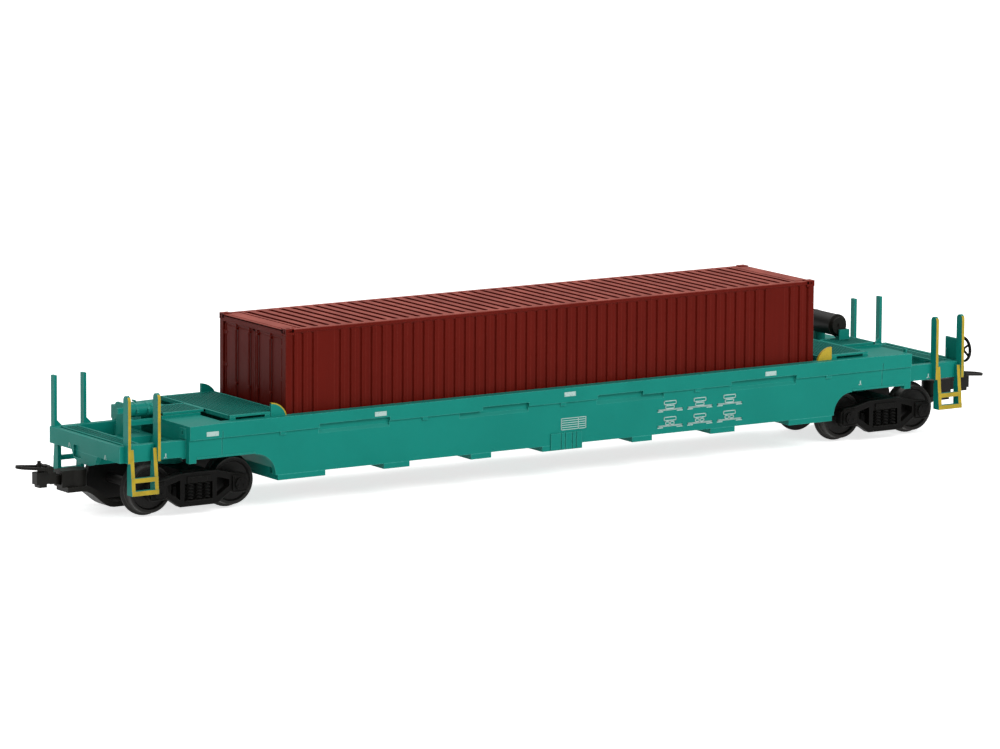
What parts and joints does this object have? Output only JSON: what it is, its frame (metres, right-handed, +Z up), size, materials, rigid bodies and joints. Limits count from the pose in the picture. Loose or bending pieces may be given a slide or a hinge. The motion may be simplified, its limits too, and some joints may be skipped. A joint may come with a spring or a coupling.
{
  "type": "model double-stack well wagon with container",
  "caption": "Scale model railway well wagon: deep side sills, end decks with ladders, swivelling bogies with loop couplers and a lift-out container.",
  "frame": {"origin": "centre of the wagon, at the bottom of the wheel flanges", "axes": "+X along the wagon towards the brake wheel's end, +Y across it, +Z up"},
  "size_m": [0.2572, 0.0344, 0.0386],
  "materials": {
    "car_paint": "satin moulded plastic",
    "container_paint": "satin moulded plastic",
    "black_plastic": "matt moulded plastic",
    "wheel_metal": "blackened turned metal",
    "yellow_paint": "painted safety edges",
    "white_print": "printed marks"
  },
  "bodies": {
    "car_body": {"side_sill_near": "car_paint", "side_sill_far": "car_paint", "cross_bearers": "car_paint", "well_ledges": "car_paint", "bulkhead_left": "car_paint", "bulkhead_right": "car_paint", "bolster_left": "car_paint", "bolster_right": "car_paint", "end_frame_left": "car_paint", "end_frame_right": "car_paint", "draft_sill_left": "car_paint", "draft_sill_right": "car_paint", "top_grating_left": "car_paint", "top_grating_right": "car_paint", "end_walkway_left": "car_paint", "end_walkway_right": "car_paint", "centre_walkway_left": "car_paint", "centre_walkway_right": "car_paint", "container_guides_left": "car_paint", "container_guides_right": "car_paint", "ladder_left_near": "car_paint", "ladder_left_far": "car_paint", "ladder_right_near": "car_paint", "ladder_right_far": "car_paint", "brake_cylinder": "car_paint", "brake_cylinder_bracket": "car_paint", "air_reservoir": "black_plastic", "reservoir_saddles": "car_paint", "brake_housing": "car_paint", "brake_wheel": "black_plastic", "pivot_pin_left": "wheel_metal", "pivot_pin_right": "wheel_metal"},
    "container": {"container_side_near": "container_paint", "container_side_far": "container_paint", "container_roof": "container_paint", "container_front_wall": "container_paint", "container_door_near": "container_paint", "container_door_far": "container_paint", "container_floor": "container_paint", "container_castings": "container_paint"},
    "bogie_left": {"bogie_frame_left": "black_plastic", "coupler_arm_left": "black_plastic"},
    "coupler_left": {"coupler_left": "black_plastic"},
    "coupler_loop_left": {"coupler_loop_left": "black_plastic"},
    "bogie_right": {"bogie_frame_right": "black_plastic", "coupler_arm_right": "black_plastic"},
    "coupler_right": {"coupler_right": "black_plastic"},
    "coupler_loop_right": {"coupler_loop_right": "black_plastic"},
    "wheelset_left_outer": {"wheelset_left_outer": "wheel_metal"},
    "wheelset_left_inner": {"wheelset_left_inner": "wheel_metal"},
    "wheelset_right_inner": {"wheelset_right_inner": "wheel_metal"},
    "wheelset_right_outer": {"wheelset_right_outer": "wheel_metal"}
  },
  "joints": [
    {"name": "bogie_left_swivel", "type": "hinge", "parent": "car_body", "child": "bogie_left", "pos_m": [-0.09125, 0, 0.0095], "axis": [0, 0, 1], "range_deg": [-10, 10]},
    {"name": "bogie_right_swivel", "type": "hinge", "parent": "car_body", "child": "bogie_right", "pos_m": [0.09125, 0, 0.0095], "axis": [0, 0, 1], "range_deg": [-10, 10]},
    {"name": "wheelset_left_outer_roll", "type": "hinge", "parent": "bogie_left", "child": "wheelset_left_outer", "pos_m": [-0.10145, 0, 0.00595], "axis": [0, 1, 0], "continuous": true},
    {"name": "wheelset_left_inner_roll", "type": "hinge", "parent": "bogie_left", "child": "wheelset_left_inner", "pos_m": [-0.08105, 0, 0.00595], "axis": [0, 1, 0], "continuous": true},
    {"name": "wheelset_right_inner_roll", "type": "hinge", "parent": "bogie_right", "child": "wheelset_right_inner", "pos_m": [0.08105, 0, 0.00595], "axis": [0, 1, 0], "continuous": true},
    {"name": "wheelset_right_outer_roll", "type": "hinge", "parent": "bogie_right", "child": "wheelset_right_outer", "pos_m": [0.10145, 0, 0.00595], "axis": [0, 1, 0], "continuous": true},
    {"name": "coupler_left_swing", "type": "hinge", "parent": "bogie_left", "child": "coupler_left", "pos_m": [-0.11405, 0, 0.0082], "axis": [0, 0, 1], "range_deg": [-8, 8]},
    {"name": "coupler_loop_left_lift", "type": "hinge", "parent": "coupler_left", "child": "coupler_loop_left", "pos_m": [-0.12165, 0, 0.01095], "axis": [0, 1, 0], "range_deg": [-16.5, 23.5]},
    {"name": "coupler_right_swing", "type": "hinge", "parent": "bogie_right", "child": "coupler_right", "pos_m": [0.11405, 0, 0.0082], "axis": [0, 0, 1], "range_deg": [-8, 8]},
    {"name": "coupler_loop_right_lift", "type": "hinge", "parent": "coupler_right", "child": "coupler_loop_right", "pos_m": [0.12165, 0, 0.01095], "axis": [0, -1, 0], "range_deg": [-4, 36]},
    {"name": "container_lift", "type": "slide", "parent": "car_body", "child": "container", "axis": [0, 0, 1], "range_m": [0, 0.035]}
  ]
}
